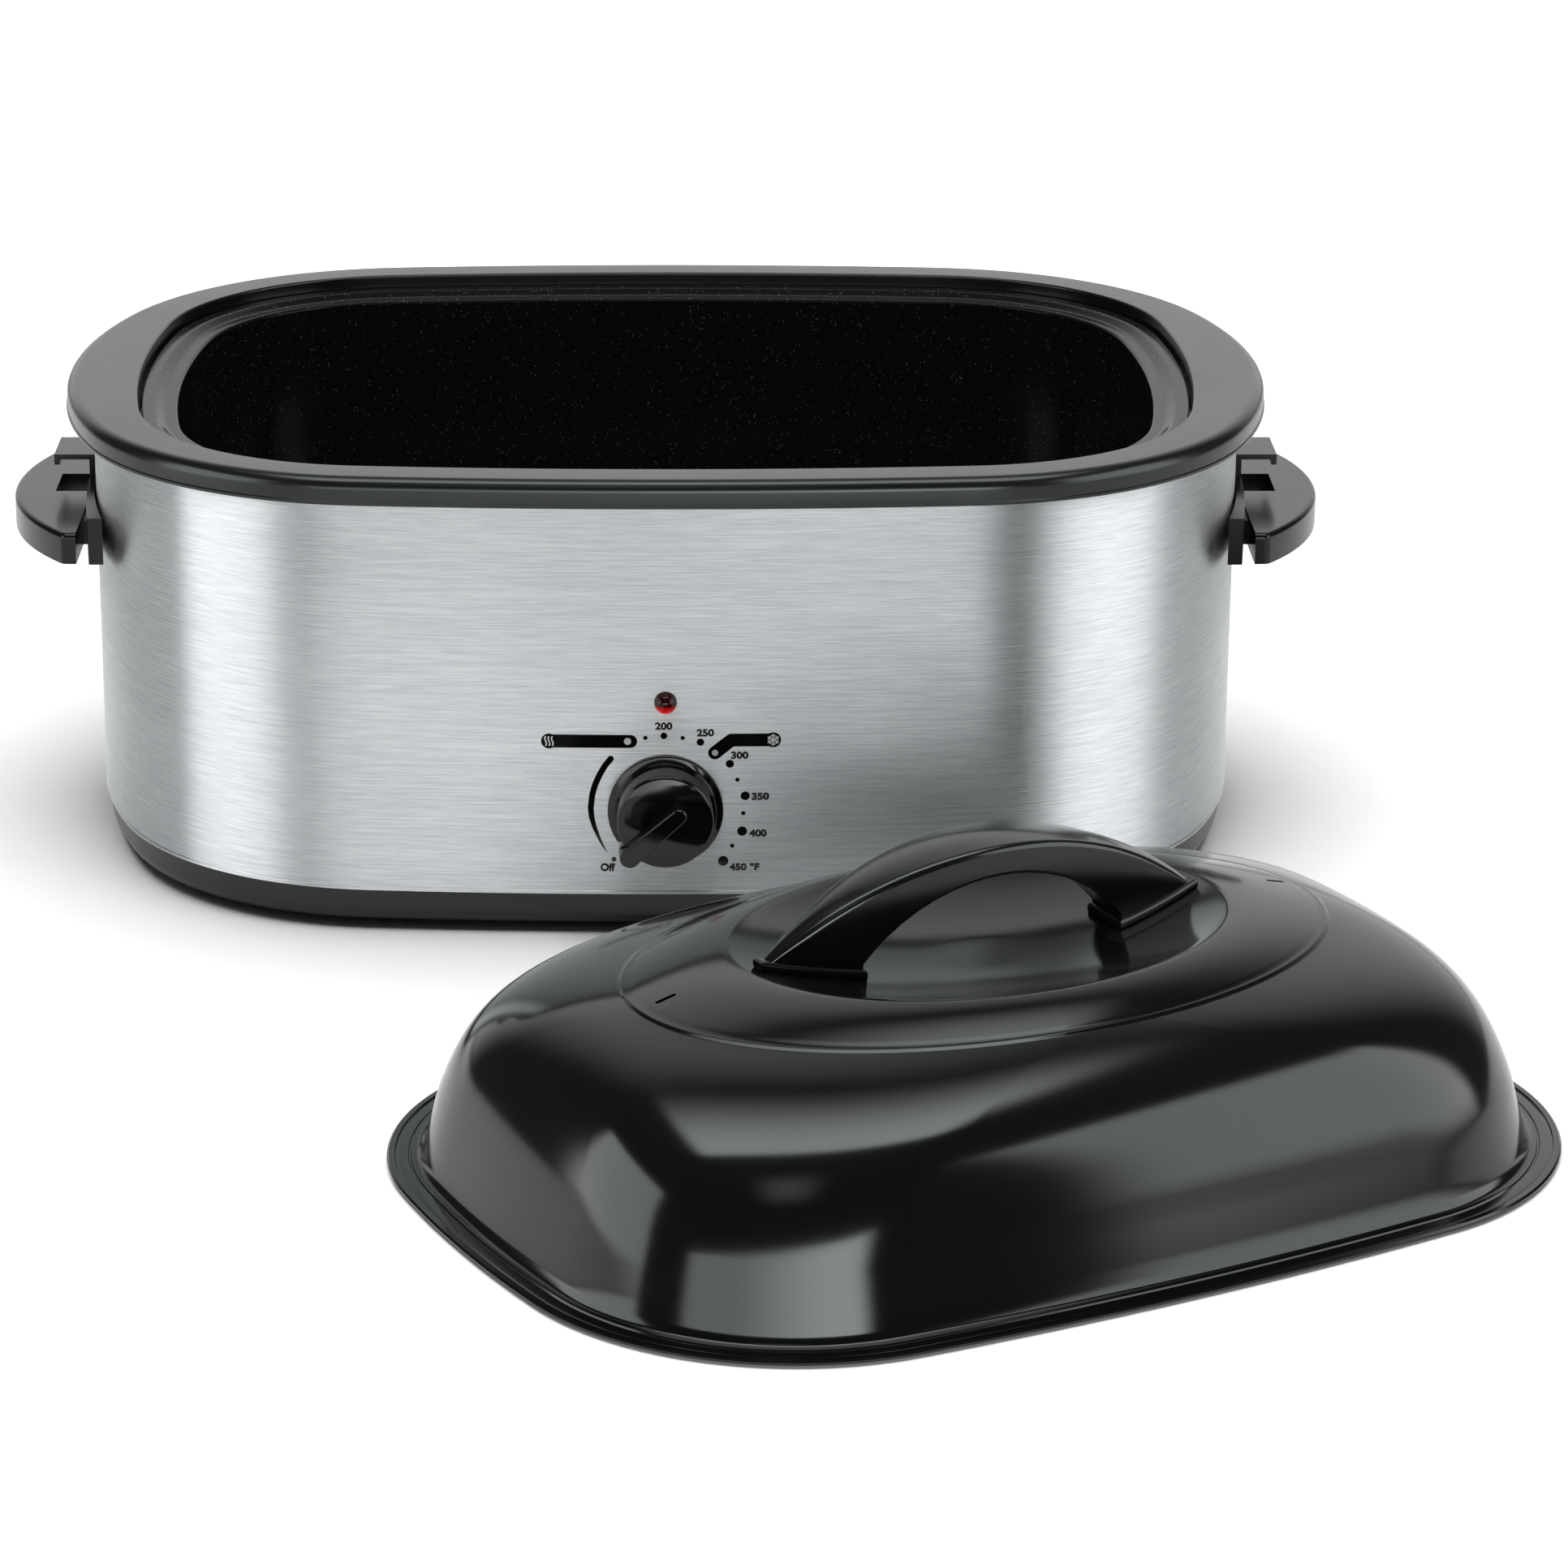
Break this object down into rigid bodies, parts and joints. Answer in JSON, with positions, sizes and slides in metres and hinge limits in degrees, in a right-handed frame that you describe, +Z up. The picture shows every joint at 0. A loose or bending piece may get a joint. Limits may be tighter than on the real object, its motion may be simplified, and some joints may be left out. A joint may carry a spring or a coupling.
{
  "type": "electric roaster oven",
  "caption": "Electric roaster oven: rounded steel body on a black base, black top ring, lift-out pan with a wire rack, loose domed lid with a bridge handle, dial knob and pilot light.",
  "frame": {"origin": "on the counter under the middle of the oven body", "axes": "+X to the right along the oven's long side, -Y towards the dial, +Z up"},
  "size_m": [0.6721, 0.8443, 0.215],
  "materials": {
    "brushed_steel": "brushed, satin",
    "ring_black": "satin moulded",
    "base_black": "satin moulded",
    "handle_black": "satin moulded",
    "lid_black": "gloss enamel",
    "lid_handle_black": "gloss moulded",
    "knob_black": "gloss moulded",
    "lens_red": "clear red, polished",
    "lamp_glass": "clear",
    "pan_enamel": "dark enamel, fine grain",
    "well_aluminised": "dull aluminised sheet",
    "rack_chrome": "bright wire",
    "zinc": "zinc plated",
    "foot_rubber": "matte",
    "band_steel": "dull",
    "blanket_wool": "glass wool",
    "ceramic_white": "unglazed",
    "thermostat_body": "moulded phenolic",
    "bulb_copper": "dull copper",
    "lead_sleeve": "braided glass sleeve",
    "gland_black": "moulded"
  },
  "bodies": {
    "housing": {"base_tray": "base_black", "rubber_feet": "foot_rubber", "outer_wrap_front": "brushed_steel", "outer_wrap_rear": "brushed_steel", "top_ring": "ring_black", "liner_well": "well_aluminised", "liner_screws": "zinc", "tie_rods": "zinc", "heat_shield": "well_aluminised", "shield_screws": "zinc", "insulation_blanket": "blanket_wool", "heating_bands": "band_steel", "band_clips": "zinc", "element_terminal": "ceramic_white", "thermostat_body": "thermostat_body", "thermostat_bracket": "zinc", "thermostat_nut": "zinc", "sensor_bulb": "bulb_copper", "floor_clips": "zinc", "capillary_tube": "bulb_copper", "pilot_lens": "lens_red", "pilot_lamp": "lamp_glass", "lamp_retainer": "zinc", "cord_gland": "gland_black", "gland_nut": "gland_black", "terminal_block": "ceramic_white", "thermal_fuse": "ceramic_white", "fuse_leads": "lead_sleeve", "element_leads": "lead_sleeve", "left_handle": "handle_black", "right_handle": "handle_black", "handle_screws": "zinc", "handle_backing_plates": "zinc"},
    "knob": {"control_knob": "knob_black", "control_shaft": "zinc"},
    "pan": {"roasting_pan": "pan_enamel"},
    "rack": {"rack_frame": "rack_chrome", "rack_cross_wires": "rack_chrome", "rack_lift_handles": "rack_chrome"},
    "lid": {"lid_shell": "lid_black", "lid_handle": "lid_handle_black", "lid_handle_screws": "zinc", "lid_handle_washers": "zinc"}
  },
  "joints": [
    {"name": "knob_turn", "type": "hinge", "parent": "housing", "child": "knob", "pos_m": [0, -0.2, 0.0607], "axis": [0, 1, 0], "range_deg": [0, 270]},
    {"name": "pan_lift", "type": "slide", "parent": "housing", "child": "pan", "axis": [0, 0, 1], "range_m": [0, 0.25]},
    {"name": "rack_lift", "type": "slide", "parent": "pan", "child": "rack", "axis": [0, 0, 1], "range_m": [0, 0.25]},
    {"name": "lid_lift", "type": "slide", "parent": "housing", "child": "lid", "axis": [0, 0, 1], "range_m": [0, 0.3]}
  ]
}
